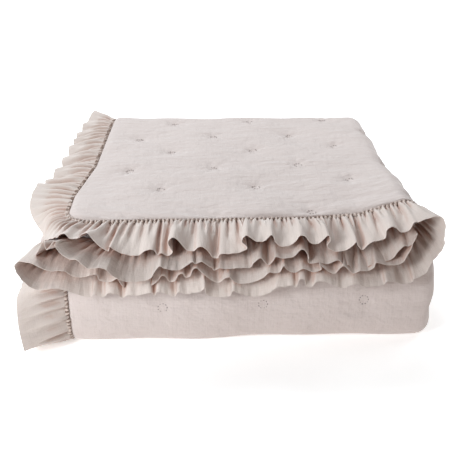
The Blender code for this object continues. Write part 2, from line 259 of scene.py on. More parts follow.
def maths(tree, operation, a, b=None, c=None):
    node = tree.nodes.new("ShaderNodeMath")
    node.operation = operation
    for socket, value in zip(node.inputs, (a, b, c)):
        if value is None:
            continue
        if isinstance(value, (int, float)):
            socket.default_value = value
        else:
            tree.links.new(value, socket)
    return node.outputs[0]


def noise(tree, vector, scale, detail=2.0, stretch=(1, 1, 1), offset=(0, 0, 0), rough=0.5):
    mapping = add(tree, "ShaderNodeMapping")
    mapping.inputs["Scale"].default_value = stretch
    mapping.inputs["Location"].default_value = offset
    link(tree, vector, mapping.inputs["Vector"])
    node = add(tree, "ShaderNodeTexNoise", Scale=scale, Detail=detail, Roughness=rough)
    link(tree, mapping.outputs[0], node.inputs["Vector"])
    return node.outputs[0]


def rangeOf(tree, value, low, high, toLow, toHigh):
    node = add(tree, "ShaderNodeMapRange")
    for name, number in (("From Min", low), ("From Max", high), ("To Min", toLow), ("To Max", toHigh)):
        node.inputs[name].default_value = number
    link(tree, value, node.inputs["Value"])
    return node.outputs[0]


def mixColour(tree, factor, a, b, blend="MIX"):
    node = tree.nodes.new("ShaderNodeMix")
    node.data_type = "RGBA"
    node.blend_type = blend
    for socket, value in ((node.inputs[0], factor), (node.inputs[6], a), (node.inputs[7], b)):
        if isinstance(value, (int, float)):
            socket.default_value = value
        elif isinstance(value, tuple):
            socket.default_value = (*value, 1.0)
        else:
            tree.links.new(value, socket)
    return node.outputs[2]


def clothMaterial(name, look, flatMap=True):
    material, tree = nodeTree(name)
    shader = shaderIn(tree)
    solidPlace = add(tree, "ShaderNodeTexCoord").outputs["Object"]
    place = add(tree, "ShaderNodeUVMap", uv_map="clothFlat").outputs[0] if flatMap else solidPlace
    # threads one way and the other, with thicker and thinner ones among them
    threads = []
    for way in ("X", "Y"):
        wave = add(tree, "ShaderNodeTexWave", Scale=look["weaveScale"], Distortion=1.2, Detail=1.0)
        wave.bands_direction = way
        link(tree, place, wave.inputs["Vector"])
        threads.append(wave.outputs["Fac"])
    weave = maths(tree, "MULTIPLY", *threads)
    slubAcross = noise(tree, place, 1.0, 2.0, (look["slub"], look["slub"] * 14, 1))
    slubAlong = noise(tree, place, 1.0, 2.0, (look["slub"] * 14, look["slub"], 1), (3.1, 1.7, 0))
    slub = maths(tree, "ADD", slubAcross, slubAlong)
    mottle = noise(tree, solidPlace, look["mottleScale"], 4.0, rough=0.6)
    # colour
    patches = rangeOf(tree, mottle, 0.3, 0.7, 0, 1)
    colour = mixColour(tree, patches, look["colour"], look["secondColour"])
    thicker = rangeOf(tree, slub, 0.75, 1.25, 0, look["slubShade"])
    colour = mixColour(tree, thicker, colour, look["threadShade"])
    between = rangeOf(tree, weave, 0, 1, look["weaveShade"], 0)
    colour = mixColour(tree, between, colour, look["threadShade"])
    if "paintedHollowShade" in look:
        # painted shade: the colour is multiplied warmer and darker down in the folds and on the side turned
        # to the pile
        inner = add(tree, "ShaderNodeAttribute", attribute_name="inner").outputs["Fac"]
        colour = mixColour(tree, inner, colour, look["paintedHollowShade"], "MULTIPLY")
    link(tree, colour, shader.inputs["Base Color"])
    roughness = rangeOf(tree, slub, 0.7, 1.3, look["roughness"] - 0.06, look["roughness"] + 0.05)
    link(tree, roughness, shader.inputs["Roughness"])
    shader.inputs["Sheen Weight"].default_value = look["sheen"]
    shader.inputs["Sheen Roughness"].default_value = 0.5
    shader.inputs["Specular IOR Level"].default_value = 0.2
    # wrinkles, slubs and weave in the surface
    height = None
    for scale, stretch, depth, offset in look["wrinkles"]:
        field = noise(tree, place, scale, 3.0, stretch, offset, 0.55)
        part = maths(tree, "MULTIPLY", field, depth)
        height = part if height is None else maths(tree, "ADD", height, part)
    height = maths(tree, "ADD", height, maths(tree, "MULTIPLY", slub, look["slubDepth"]))
    height = maths(tree, "ADD", height, maths(tree, "MULTIPLY", weave, look["weaveDepth"]))
    bump = add(tree, "ShaderNodeBump", Strength=1.0, Distance=1.0)
    link(tree, height, bump.inputs["Height"])
    link(tree, bump.outputs[0], shader.inputs["Normal"])
    return material


quiltLook = {
    "colour": (0.600, 0.508, 0.474),
    "secondColour": (0.579, 0.487, 0.453),
    "threadShade": (0.46, 0.39, 0.365),
    "weaveScale": 80.0,
    "slub": 60.0,
    "slubShade": 0.16,
    "weaveShade": 0.14,
    "mottleScale": 9.0,
    "roughness": 0.90,
    "sheen": 0.25,
    "slubDepth": 0.00007,
    "weaveDepth": 0.00005,
    # scale, stretch along the two ways of the cloth, depth in metres, offset
    "wrinkles": (
        (1.0, (9, 20, 1), 0.0092, (0.3, 0.1, 0)),
        (1.0, (30, 52, 1), 0.0036, (1.3, 2.2, 0)),
        (1.0, (95, 24, 1), 0.0015, (2.6, 5.2, 0)),
        (1.0, (130, 210, 1), 0.00045, (4.0, 0.6, 0)),
    ),
}
frillLook = {
    "colour": (0.608, 0.520, 0.474),
    "secondColour": (0.580, 0.492, 0.446),
    "threadShade": (0.44, 0.355, 0.31),
    # painted shade: multiplied into the colour where the cloth is closed in by folds
    "paintedHollowShade": (0.74, 0.515, 0.435),
    "weaveScale": 90.0,
    "slub": 70.0,
    "slubShade": 0.15,
    "weaveShade": 0.12,
    "mottleScale": 14.0,
    "roughness": 0.88,
    "sheen": 0.25,
    "slubDepth": 0.00006,
    "weaveDepth": 0.00004,
    "wrinkles": (
        (1.0, (60, 16, 1), 0.0028, (0.3, 0.1, 0)),
        (1.0, (150, 40, 1), 0.0010, (1.3, 2.2, 0)),
        (1.0, (40, 90, 1), 0.0010, (2.3, 0.2, 0)),
    ),
}
quiltWeave = clothMaterial("quiltWeave", quiltLook)
frillWeave = clothMaterial("frillWeave", frillLook)
# painted shade: the gathering puffs are the frill's cloth in a darker, warmer colour, standing for the shade
# in the gathered band
gatherLook = dict(frillLook, colour=(0.560, 0.455, 0.402), secondColour=(0.520, 0.415, 0.362))
del gatherLook["paintedHollowShade"]    # the gathering isn't marked with its hollows, so it gets no painted hollow shade
gatherWeave = clothMaterial("gatherWeave", gatherLook, flatMap=False)


def threadMaterial(name, colour, shade):
    material, tree = nodeTree(name)
    shader = shaderIn(tree)
    place = add(tree, "ShaderNodeTexCoord").outputs["Object"]
    fuzz = noise(tree, place, 900.0, 3.0)
    uneven = mixColour(tree, rangeOf(tree, fuzz, 0.35, 0.65, 0, 1), colour, shade)
    link(tree, uneven, shader.inputs["Base Color"])
    link(tree, rangeOf(tree, fuzz, 0.3, 0.7, 0.7, 0.9), shader.inputs["Roughness"])
    bump = add(tree, "ShaderNodeBump", Strength=0.6, Distance=0.0004)
    link(tree, fuzz, bump.inputs["Height"])
    link(tree, bump.outputs[0], shader.inputs["Normal"])
    shader.inputs["Sheen Weight"].default_value = 0.2
    return material


# painted shade: the gathering thread's dark brown stands partly for the thread and partly for the shade in
# the valleys between the gathers
gatherThreadAndValleyShade = threadMaterial("gatherThreadAndValleyShade", (0.26, 0.18, 0.14), (0.19, 0.125, 0.095))
# the tack thread is darker than the cloth: partly its own colour, partly painted shade for the dimples round
# the tacks
tackThreadAndDimpleShade = threadMaterial("tackThreadAndDimpleShade", (0.40, 0.33, 0.305), (0.32, 0.26, 0.24))


quilt = {
    "fineStep": 0.0061,
    "coarseStep": 0.024,
    "tackDepth": 0.0050,
    "tackReach": 0.0125,
    "hollowDepth": 0.0034,
    "hollowReach": 0.036,
    "puckerHeight": 0.0017,
    "puckers": 7,
    "puckerAt": 0.018,
    "puckerReach": 0.012,
    "slowHeight": 0.0019,
    "edgeWave": 0.0024,
    "edgeReach": 0.035,
    "edgeLines": (0.0, 0.0015, 0.004, 0.008, 0.013),  # mesh lines near a sewn edge
    "runLength": 0.6,
    "reliefFrom": 0.02,
    "reliefTo": 1.2,
    "restsAt": 0.0002,
}
# the tacks, as flat places: across the width and back from the foot edge
tackColumns = (0.075, 0.243, 0.418, 0.599)
tackRows = (0.019, 0.263, 0.474, 0.685, 0.896)
offsetColumns = (0.151, 0.329, 0.508, 0.66)
offsetRows = (0.155, 0.375, 0.586, 0.80, 1.02)
rowSlant, slantFrom = 0.08, 0.3
# the tacks on the front fold: where across, how far off its middle, and the middle's v
frontTackPlaces = ((0.153, -0.005), (0.319, -0.003), (0.487, 0.0))
frontMiddle = 3.52


def lengthsAlong(points):
    return np.concatenate([[0], np.cumsum(np.linalg.norm(np.diff(points, axis=0), axis=1))])


# distances on the flat cloth at every 1/200 of a run, measured on the fold itself
acrossU, alongV = np.linspace(0, 7, 1401), np.linspace(0, 5, 1001)
acrossFlat = lengthsAlong(foldedPoint(acrossU, 0.5, 0))
alongFlat = lengthsAlong(foldedPoint(0.5, alongV, 0))
print("flat cloth", round(acrossFlat[-1], 3), "by", round(alongFlat[-1], 3), "m")


def stepsOf(table, fine, coarse, fineRuns):
    # fine mesh lines on the runs that show, coarse ones inside the pile
    places, flat = table
    found = []
    for run in range(int(round(places[-1]))):
        low, high = np.interp([run, run + 1], places, flat)
        step = fine if run in fineRuns else coarse
        count = max(int(math.ceil((high - low) / step)), 8)
        found += list(np.linspace(run, run + 1, count, endpoint=False))
    found.append(places[-1] - 1e-9)
    return np.array(found)


def tackPlaces():
    found = []
    for columns, rows in ((tackColumns, tackRows), (offsetColumns, offsetRows)):
        for a in columns:
            for b in rows:
                found.append((a, b + rowSlant * (a - slantFrom)))
    middle = float(np.interp(frontMiddle, alongV, alongFlat))
    return found + [(a, middle + off) for a, off in frontTackPlaces]


def flatPlace(u, v):
    return np.interp(u, acrossU, acrossFlat), np.interp(v, alongV, alongFlat)


acrossFold = float(np.interp(1.5, acrossU, acrossFlat))


def quiltRelief(s, t):
    # how far the outer skin stands off its smooth shape
    high = quilt["slowHeight"] * (np.sin(s * 19 + 1.3 * np.sin(t * 13)) * np.sin(t * 23 + 0.7) +
                                  0.6 * np.sin(s * 37 + t * 11 + 1.9))
    # the folded edge on the right is a little wavy
    high += quilt["edgeWave"] * np.exp(-((s - acrossFold) / quilt["edgeReach"]) ** 2) * (
        np.sin(t * 47) + 0.7 * np.sin(t * 83 + 1) - 0.4)
    for a, b in tackPlaces():
        r = np.hypot(s - a, t - b)
        angle = np.arctan2(t - b, s - a)
        high -= quilt["tackDepth"] * np.exp(-(r / quilt["tackReach"]) ** 2)
        high -= quilt["hollowDepth"] * np.exp(-(r / quilt["hollowReach"]) ** 2)
        ring = np.exp(-((r - quilt["puckerAt"]) / quilt["puckerReach"]) ** 2)
        high += quilt["puckerHeight"] * ring * np.cos(quilt["puckers"] * angle + a * 40)
    return high


uSteps = stepsOf((acrossU, acrossFlat), quilt["fineStep"], quilt["coarseStep"], (0, 1))
vSteps = stepsOf((alongV, alongFlat), quilt["fineStep"], quilt["coarseStep"], (0, 1, 3))
edgeFine = np.array(quilt["edgeLines"]) / quilt["runLength"]
uSteps = np.unique(np.concatenate([uSteps, edgeFine, 7 - 1e-9 - edgeFine]))
vSteps = np.unique(np.concatenate([vSteps, edgeFine, 5 - 1e-9 - edgeFine]))
gridU, gridV = np.meshgrid(uSteps, vSteps)
gridS, gridT = flatPlace(gridU, gridV)
# the relief fades at the sewn edges and inside the pile
fade = smooth(gridU / quilt["reliefFrom"]) * smooth(gridV / quilt["reliefFrom"])
fade = fade * (1 - smooth(gridU - quilt["reliefTo"]))
relief = quiltRelief(gridS, gridT) * fade
outerSkin = foldedPoint(gridU, gridV, 1.0, relief)
innerSkin = foldedPoint(gridU, gridV, -1.0)
outerSkin[..., 2] = np.maximum(outerSkin[..., 2], quilt["restsAt"])    # flat where it rests
quiltPiece = closedCloth("quilt", outerSkin, innerSkin, np.stack([gridS, gridT], -1), quiltWeave)
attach(quiltPiece, "root")
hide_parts("quilted_panel")
print("quilt", len(quiltPiece.data.polygons) * 2, "triangles")


frill = {
    "depth": 0.088,
    "thick": 0.0011,
    "seamGap": 0.0012,
    "fastestHem": 4,
    "slowestHem": 0.25,
    "sewnSmooth": 0.035,
    "straightRise": 0.35,  # the rest of the lift follows a quarter wave
    "leastReach": 0.55,  # share of its depth that the frill still reaches where it is most waved
    "tuck": 0.30,
    "tuckPuff": 0.42,
    "tuckWidth": 0.030,
    "cornerWidth": 0.10,
    "fineStep": 0.0018,
    "middleStep": 0.0025,
    "coarseStep": 0.0040,
    "rows": 28,
    "sideRows": 22,
    "hiddenRows": 20,
    "rowPower": 1.25,  # the rows crowd towards the seam
    "gatherPitch": 0.0072,
    "gatherHeight": 0.0022,
    "gatherReach": 0.20,
    "foldHeight": 0.0027,
    "foldPitch": 0.021,
    "foldAt": 0.32,
    "creaseDepth": 0.0046,
    "creaseSpacing": (0.011, 0.036),
    "creaseWidth": (0.0016, 0.0032),
    "creaseWeight": (0.30, 1.0),
    "creaseReach": 0.55,
    "creaseStep": 0.0006,
    "creaseSpan": 0.02,
    "creaseRidge": 0.35,
    "creaseSeed": 12,
    "hemRipple": 0.0005,
    "hemThin": 0.55,
}


def cornerV(degrees):
    return fold["cornerRadius"] * (1 - math.cos(math.radians(degrees))) / (fold["backY"] - fold["footY"])


# places along the sewn edge: u, v, compass way of the frill, droop at the seam and at the hem, swing
guides = np.array((
    (0, 5.00, -90, 4, 34, 0.010), (0, 4.00, -86, 6, 34, 0.010), (0, 3.62, -64, 4, 14, 0.008),
    (0, 3.40, -54, 0, 6, 0.010), (0, 3.10, -60, -2, 0, 0.010), (0, 2.96, -66, -2, -2, 0.009),
    (0, 2.86, -78, -2, -2, 0.008), (0, 2.50, -88, -2, -2, 0.008), (0, 2.00, -88, -2, -2, 0.008),
    (0, 1.70, -96, 4, 8, 0.010), (0, 1.35, -100, 8, 30, 0.011), (0, 1.16, -128, 8, 30, 0.009),
    (0, 1.08, -140, -2, 4, 0.006), (0, 1.05, -136, -6, -6, 0.006), (0, 1.02, -128, -4, 2, 0.007),
    (0, 0.98, -116, 0, 14, 0.008), (0, 0.88, -94, 6, 28, 0.012), (0, 0.60, -93, 5, 27, 0.012),
    (0, 0.34, -98, 4, 16, 0.012), (0, 0.20, -106, 2, 0, 0.012), (0, 0.11, -107, 2, 8, 0.010),
    (0, cornerV(90), -106, 4, 22, 0.009), (0, cornerV(78), -106, 8, 42, 0.008),
    (0, cornerV(66), -90, 26, 76, 0.008), (0, cornerV(55), -44, 12, 36, 0.008),
    (0, cornerV(45), -20, -2, -4, 0.008), (0, cornerV(30), -14, -2, -14, 0.008),
    (0, 0, -11, 0, -18, 0.009), (0.02, 0, -9, 0, -18, 0.010), (0.05, 0, -8, 0, -11, 0.011),
    (0.09, 0, -6, 0, 8, 0.012), (0.13, 0, -5, 0, 20, 0.014), (0.25, 0, 0, 0, 28, 0.014),
    (0.80, 0, 2, 0, 27, 0.014), (1.00, 0, 3, -4, 9, 0.010), (1.25, 0, 18, -12, -10, 0.004),
    (1.50, 0, 16, 3, 8, 0.001), (1.75, 0, 10, 9, 22, 0.003), (2.00, 0, 10, 12, 42, 0.007),
    (2.15, 0, 4, 6, 66, 0.010), (2.40, 0, 2, 4, 78, 0.010), (2.80, 0, -2, 4, 77, 0.010),
    (2.90, 0, -6, 6, 56, 0.008), (2.97, 0, -12, 6, 28, 0.006), (3.10, 0, -5, 2, 16, 0.003),
    (3.25, 0, -11, 4, 16, 0.002), (3.38, 0, -20, 1, 6, 0.001), (3.50, 0, -25, -7, -4, 0.001),
    (3.62, 0, -24, -13, -7, 0.001), (3.78, 0, -13, -15, -1, 0.001), (3.92, 0, -3, -9, 7, 0.002),
    (4.00, 0, 0, -2, 12, 0.004), (4.06, 0, -8, 2, 16, 0.007), (4.15, 0, -4, 18, 44, 0.010),
    (4.40, 0, 0, 25, 53, 0.011), (4.80, 0, 2, 24, 51, 0.011), (5.00, 0, 3, 12, 30, 0.008),
    (5.25, 0, -2, -4, -6, 0.004), (5.50, 0, -2, -16, -20, 0.002), (5.75, 0, -4, -12, -9, 0.003),
    (6.00, 0, 5, 7, 24, 0.007), (6.20, 0, 2, 15, 41, 0.012), (6.75, 0, -1, 15, 40, 0.012),
    (6.88, 0, -5, 13, 36, 0.010), (6.95, 0, -24, 3, 12, 0.006), (7.00, 0, -36, -8, -8, 0.004),
    (7, cornerV(30), -27, -14, -18, 0.003), (7, cornerV(60), -22, -16, -20, 0.002),
    (7, cornerV(80), -34, 10, 20, 0.002), (7, 0.09, -62, 40, 78, 0.003), (7, 0.14, -84, 40, 78, 0.005),
    (7, 0.24, -90, 14, 68, 0.007), (7, 0.60, -90, 2, 52, 0.007), (7, 1.00, -86, 0, 40, 0.007),
    (7, 1.40, -92, 4, 18, 0.006), (7, 1.70, -92, 2, 6, 0.006), (7, 2.00, -88, -3, -5, 0.006),
    (7, 2.50, -88, -3, -5, 0.006), (7, 3.00, -86, -3, -5, 0.006), (7, 3.50, -84, 2, 12, 0.005),
    (7, 4.00, -88, 2, 40, 0.005), (7, 5.00, -90, -2, 40, 0.006),
))


class Seam:
    # the sewn edge as one long line, and the way the frill leaves it
    def __init__(self):
        rows = []
        for low, high in zip(guides, guides[1:]):
            for share in np.linspace(0, 1, 40, endpoint=False):
                rows.append(low + (high - low) * share)
        rows = np.array(rows + [guides[-1]])
        points = foldedPoint(np.minimum(rows[:, 0], 7 - 1e-6), np.minimum(rows[:, 1], 5 - 1e-6), 0)
        lengths = lengthsAlong(points)
        self.total = lengths[-1]
        self.s = np.linspace(0, self.total, int(self.total / 0.001))
        self.point = np.stack([np.interp(self.s, lengths, points[:, k]) for k in range(3)], -1)
        guide = [self.soften(np.interp(self.s, lengths, rows[:, k])) for k in range(2, 6)]
        self.guide = np.stack(guide, -1)
        self.uv = np.stack([np.interp(self.s, lengths, rows[:, k]) for k in range(2)], -1)
        ahead = np.gradient(self.point, axis=0)
        self.tangent = unit(np.stack([self.soften(ahead[:, k], sigma=5) for k in range(3)], -1))

    def soften(self, values, sigma=9):
        width = int(sigma * 3)
        kernel = np.exp(-0.5 * (np.arange(-width, width + 1) / sigma) ** 2)
        padded = np.concatenate([np.full(width, values[0]), values, np.full(width, values[-1])])
        return np.convolve(padded, kernel / kernel.sum(), mode="valid")

    def at(self, s, table):
        return np.stack([np.interp(s, self.s, table[:, k]) for k in range(table.shape[1])], -1)

    def distance(self, u, v=0.0):
        # how far along the seam a place of the edge is
        miss = np.abs(self.uv[:, 0] - u) * 10 + np.abs(self.uv[:, 1] - v)
        return float(self.s[np.argmin(miss)])

    def atX(self, run, x):
        # distance where a foot run of the edge reaches this x, measured before the shift
        inRun = (self.uv[:, 0] >= run) & (self.uv[:, 0] <= run + 1) & (self.uv[:, 1] <= 1e-6)
        where = np.flatnonzero(inRun)
        nearest = where[np.argmin(np.abs(self.point[where, 0] + fold["shift"][0] - x))]
        return float(self.s[nearest])


seam = Seam()
print("seam", round(seam.total, 3), "m")


def direction(yaw, droop):
    yaw, droop = np.radians(yaw), np.radians(droop)
    level = np.cos(droop)
    return np.stack([np.sin(yaw) * level, -np.cos(yaw) * level, -np.sin(droop)], -1)


# lobes of the hem: x where it is, and how far it stands out (+) or lies in (-), tier by tier
topLobes = (
    (-0.222, 0.000), (-0.207, -0.006), (-0.203, 0.004), (-0.195, 0.000), (-0.182, -0.004), (-0.164, -0.005),
    (-0.151, 0.007), (-0.140, 0.008), (-0.135, -0.002), (-0.130, 0.003), (-0.120, -0.003), (-0.112, 0.005),
    (-0.119, 0.023), (-0.110, 0.032), (-0.101, 0.025), (-0.090, 0.010), (-0.080, 0.006), (-0.073, 0.013),
    (-0.064, 0.014), (-0.055, 0.004), (-0.049, -0.008), (-0.040, -0.011), (-0.037, -0.002), (-0.021, -0.001),
    (-0.003, 0.002), (0.007, 0.010), (-0.002, 0.023), (0.005, 0.033), (0.013, 0.028), (0.024, 0.022),
    (0.036, 0.024), (0.046, 0.033), (0.054, 0.018), (0.063, 0.012), (0.073, 0.013), (0.083, 0.019),
    (0.091, 0.030), (0.099, 0.030), (0.108, 0.019), (0.116, 0.015), (0.127, 0.019), (0.138, 0.029),
    (0.142, 0.020), (0.137, 0.009), (0.150, -0.003), (0.168, -0.002), (0.178, 0.005), (0.184, 0.011),
    (0.188, 0.001), (0.195, -0.007), (0.204, 0.001), (0.214, 0.002), (0.229, -0.001), (0.235, 0.013),
    (0.242, 0.015), (0.249, 0.010), (0.254, 0.000), (0.265, -0.004), (0.274, 0.006), (0.288, 0.004),
)
secondLobes = (
    (-0.284, 0.020), (-0.270, 0.012), (-0.258, 0.017), (-0.247, 0.009), (-0.236, 0.004), (-0.226, 0.010),
    (-0.217, 0.003), (-0.208, 0.012), (-0.201, 0.014), (-0.193, 0.002), (-0.180, -0.007), (-0.160, -0.008),
    (-0.146, -0.001),
    (-0.141, 0.015), (-0.134, 0.027), (-0.126, 0.023), (-0.113, 0.018), (-0.101, 0.018), (-0.085, 0.031),
    (-0.078, 0.027), (-0.068, 0.030), (-0.058, 0.022), (-0.050, 0.014), (-0.046, 0.008), (-0.036, 0.012),
    (-0.024, 0.010), (-0.002, 0.012), (0.013, 0.012), (0.019, 0.023), (0.030, 0.032), (0.042, 0.018),
    (0.050, 0.026), (0.054, 0.034), (0.066, 0.031), (0.083, 0.034), (0.093, 0.045), (0.101, 0.044),
    (0.107, 0.034), (0.109, 0.020), (0.127, 0.021), (0.140, 0.016), (0.156, 0.023), (0.162, 0.019),
    (0.168, 0.010), (0.177, 0.008), (0.184, -0.005), (0.196, -0.014), (0.209, -0.005), (0.224, -0.006),
    (0.242, -0.010), (0.252, 0.002), (0.262, 0.010), (0.274, 0.002),
)
thirdLobes = (
    (-0.312, 0.001), (-0.296, 0.004), (-0.280, 0.010), (-0.267, 0.007), (-0.255, 0.012),
    (-0.241, 0.025), (-0.233, 0.028), (-0.229, 0.017), (-0.213, 0.016), (-0.202, 0.024),
    (-0.196, 0.007), (-0.188, -0.012), (-0.176, -0.018), (-0.157, -0.002), (-0.140, 0.019),
    (-0.132, 0.034), (-0.125, 0.033), (-0.119, 0.021), (-0.111, 0.023), (-0.105, 0.037),
    (-0.098, 0.041), (-0.093, 0.033), (-0.086, 0.036), (-0.082, 0.048), (-0.075, 0.051),
    (-0.065, 0.041), (-0.051, 0.026), (-0.039, 0.018), (-0.029, 0.029), (-0.021, 0.031),
    (-0.014, 0.020), (-0.002, 0.013), (0.018, 0.017), (0.034, 0.028), (0.044, 0.040), (0.052, 0.038),
    (0.061, 0.040), (0.067, 0.051), (0.073, 0.044), (0.086, 0.038), (0.100, 0.045), (0.117, 0.038),
    (0.131, 0.042), (0.127, 0.052), (0.139, 0.041), (0.153, 0.031), (0.161, 0.040), (0.168, 0.044),
    (0.175, 0.036), (0.185, 0.024), (0.198, 0.026), (0.211, 0.019), (0.221, 0.020), (0.226, 0.029),
    (0.239, 0.017), (0.251, 0.009), (0.265, 0.005), (0.276, 0.013),
)
lowestLobes = (
    (-0.312, 0.001), (-0.286, 0.013), (-0.251, 0.004), (-0.242, 0.014), (-0.229, 0.009), (-0.220, 0.026),
    (-0.208, 0.024), (-0.199, 0.012), (-0.190, 0.024), (-0.174, 0.022), (-0.153, 0.031), (-0.146, 0.019),
    (-0.140, 0.034), (-0.124, 0.022), (-0.112, 0.015), (-0.107, 0.031), (-0.096, 0.024), (-0.086, 0.026),
    (-0.070, 0.032), (-0.063, 0.042), (-0.060, 0.020), (-0.045, 0.008), (-0.022, 0.010), (-0.017, 0.031),
    (-0.005, 0.021), (0.019, 0.006), (0.042, 0.019), (0.056, 0.039), (0.067, 0.040), (0.082, 0.042),
    (0.089, 0.036), (0.093, 0.054), (0.101, 0.053), (0.105, 0.038), (0.114, 0.034), (0.122, 0.046),
    (0.135, 0.044), (0.153, 0.031), (0.168, 0.020), (0.187, 0.029), (0.208, 0.013), (0.231, 0.004),
    (0.238, 0.012), (0.252, 0.002), (0.262, -0.012), (0.276, -0.014), (0.287, -0.004),
)
# v along the first side edge and how far it stands out, from the back fold to the front
sideLobes = (
    (1.16, 0.004), (1.10, -0.006), (1.055, 0.010), (1.00, -0.004), (0.965, 0.006), (0.94, -0.006),
    (0.90, 0.010), (0.872, -0.004), (0.835, 0.012), (0.80, -0.008), (0.745, 0.013), (0.705, 0.004),
    (0.675, -0.009), (0.61, 0.012), (0.575, 0.008), (0.545, -0.010), (0.465, 0.013), (0.42, 0.004),
    (0.395, -0.008), (0.345, 0.010), (0.315, -0.006), (0.26, 0.012), (0.215, 0.006), (0.16, 0.001),
)
# the same for the part that shows on the front fold
foldLobes = (
    (4.02, 0.004), (3.88, -0.004), (3.7, 0.003), (3.5, -0.002), (3.3, 0.002), (3.12, -0.003), (2.99, 0.004),
)
# u, v and how far it stands out, round the first corner
cornerLobes = (
    (0, 0.115, -0.002), (0, cornerV(84), -0.012), (0, cornerV(62), -0.008), (0, cornerV(45), -0.004),
    (0, cornerV(30), -0.003), (0, cornerV(14), 0.004), (0, cornerV(2), -0.004), (0.018, 0, -0.001),
    (0.042, 0, 0.011),
)


# the lobes of the stretches that have no table
scattered = {
    "clear": 0.006,  # kept free at either end of a stretch
    "height": (0.65, 1.15),  # shares of the guide's swing
    "spread": (0.011, 0.026),
    "loopSpread": (0.016, 0.030),
    "usualSwing": 0.008,
    "gap": 0.010,
    "loopGap": 0.012,
}


def scatteredLobes(low, high, seed, spread=scattered["spread"]):
    # alternating crests and troughs, no two alike
    rng = np.random.default_rng(seed)
    places, side = [], 1
    s = low + scattered["clear"]
    while s < high - scattered["clear"]:
        swing = float(np.interp(s, seam.s, seam.guide[:, 3]))
        places.append((s, side * swing * rng.uniform(*scattered["height"])))
        s += rng.uniform(*spread) * (0.6 + 0.4 * min(swing / scattered["usualSwing"], 1.4))
        side = -side
    return places


def tierLobes(run, table):
    # the second and the fourth layer lie face down: their edge runs back and their outside is turned over
    if run in (0, 4):
        return [(seam.atX(run, x), lift) for x, lift in table]
    return [(seam.atX(run, x), -lift) for x, lift in table[::-1]]


def lobesAlong():
    tables = {0: topLobes, 2: lowestLobes, 4: thirdLobes, 6: secondLobes}
    tiers = [tierLobes(run, table) for run, table in tables.items()]
    corner = [(seam.distance(u, v), lift) for u, v, lift in cornerLobes]
    shown = [(seam.distance(0, v), lift) for v, lift in foldLobes]
    side = [(seam.distance(0, v), lift) for v, lift in sideLobes]
    gap, loopGap = scattered["gap"], scattered["loopGap"]
    found = scatteredLobes(0.0, shown[0][0] - gap, seed=3) + shown
    found += scatteredLobes(shown[-1][0] + gap, side[0][0] - gap, seed=4) + side + corner
    for k, tier in enumerate(tiers):
        if k:
            low, high = found[-1][0] + loopGap, tier[0][0] - scattered["clear"]
            found += scatteredLobes(low, high, seed=20 + k, spread=scattered["loopSpread"])
        found += tier
    found += scatteredLobes(found[-1][0] + loopGap, seam.total, seed=7)
    return np.array(found)


def hemSpeed():
    # how much faster the hem goes along than the seam does, as round the outside of a corner
    yaw, droop, tip = seam.guide[:, 0], seam.guide[:, 1], seam.guide[:, 2]
    end = seam.point + direction(yaw, (droop + tip) / 2) * frill["depth"]
    speed = np.linalg.norm(np.gradient(end, axis=0), axis=1) / (seam.s[1] - seam.s[0])
    return np.clip(seam.soften(speed, sigma=6), frill["slowestHem"], frill["fastestHem"])


def hemCurve(nodes, speed):
    # a smooth line through the lobes, with its own length as the cloth's length along the hem
    n = len(nodes)
    curve = []
    for i in range(n - 1):
        p0, p1, p2, p3 = nodes[max(i - 1, 0)], nodes[i], nodes[i + 1], nodes[min(i + 2, n - 1)]
        for t in np.linspace(0, 1, 24, endpoint=False):
            curve.append(0.5 * (2 * p1 + (p2 - p0) * t + (2 * p0 - 5 * p1 + 4 * p2 - p3) * t ** 2 +
                                (3 * p1 - p0 - 3 * p2 + p3) * t ** 3))
    curve.append(nodes[-1])
    curve = np.array(curve)
    along = np.diff(curve[:, 0]) * np.interp(curve[1:, 0], seam.s, speed)
    length = np.concatenate([[0], np.cumsum(np.hypot(along, np.diff(curve[:, 1])))])
    return curve, length


speedAlong = hemSpeed()
hem, hemLength = hemCurve(lobesAlong(), speedAlong)
print("hem", round(float(hemLength[-1]), 3), "m of cloth on the seam's", round(seam.total, 3))


def takenUp():
    # where along the seam each bit of cloth is sewn: it follows the hem, smoothed over a few lobes
    cloth = np.linspace(0, hemLength[-1], 6000)
    along = np.interp(cloth, hemLength, hem[:, 0])
    width = int(frill["sewnSmooth"] / (cloth[1] - cloth[0]))
    kernel = np.exp(-0.5 * (np.arange(-3 * width, 3 * width + 1) / width) ** 2)
    kernel /= kernel.sum()
    padded = np.pad(along, 3 * width, mode="reflect", reflect_type="odd")
    return cloth, np.clip(np.maximum.accumulate(np.convolve(padded, kernel, mode="valid")), 0, seam.total)


clothAt, sewnAt = takenUp()


def creases():
    # narrow deep creases that run out from the stitching, unevenly spaced
    rng = np.random.default_rng(frill["creaseSeed"])
    at = np.linspace(0, hemLength[-1], int(hemLength[-1] / frill["creaseStep"]))
    depth = np.zeros(len(at))
    place = 0.0
    while place < hemLength[-1]:
        place += rng.uniform(*frill["creaseSpacing"])
        width, weight = rng.uniform(*frill["creaseWidth"]), rng.uniform(*frill["creaseWeight"])
        near = np.abs(at - place) < frill["creaseSpan"]
        depth[near] += weight * np.exp(-((at[near] - place) / width) ** 2)
        ridge = frill["creaseRidge"] * weight
        depth[near] -= ridge * np.exp(-((at[near] - place) / (3 * width)) ** 2)
    return at, depth


creaseAt, creaseTable = creases()
cornerAt = seam.distance(0, cornerV(60))


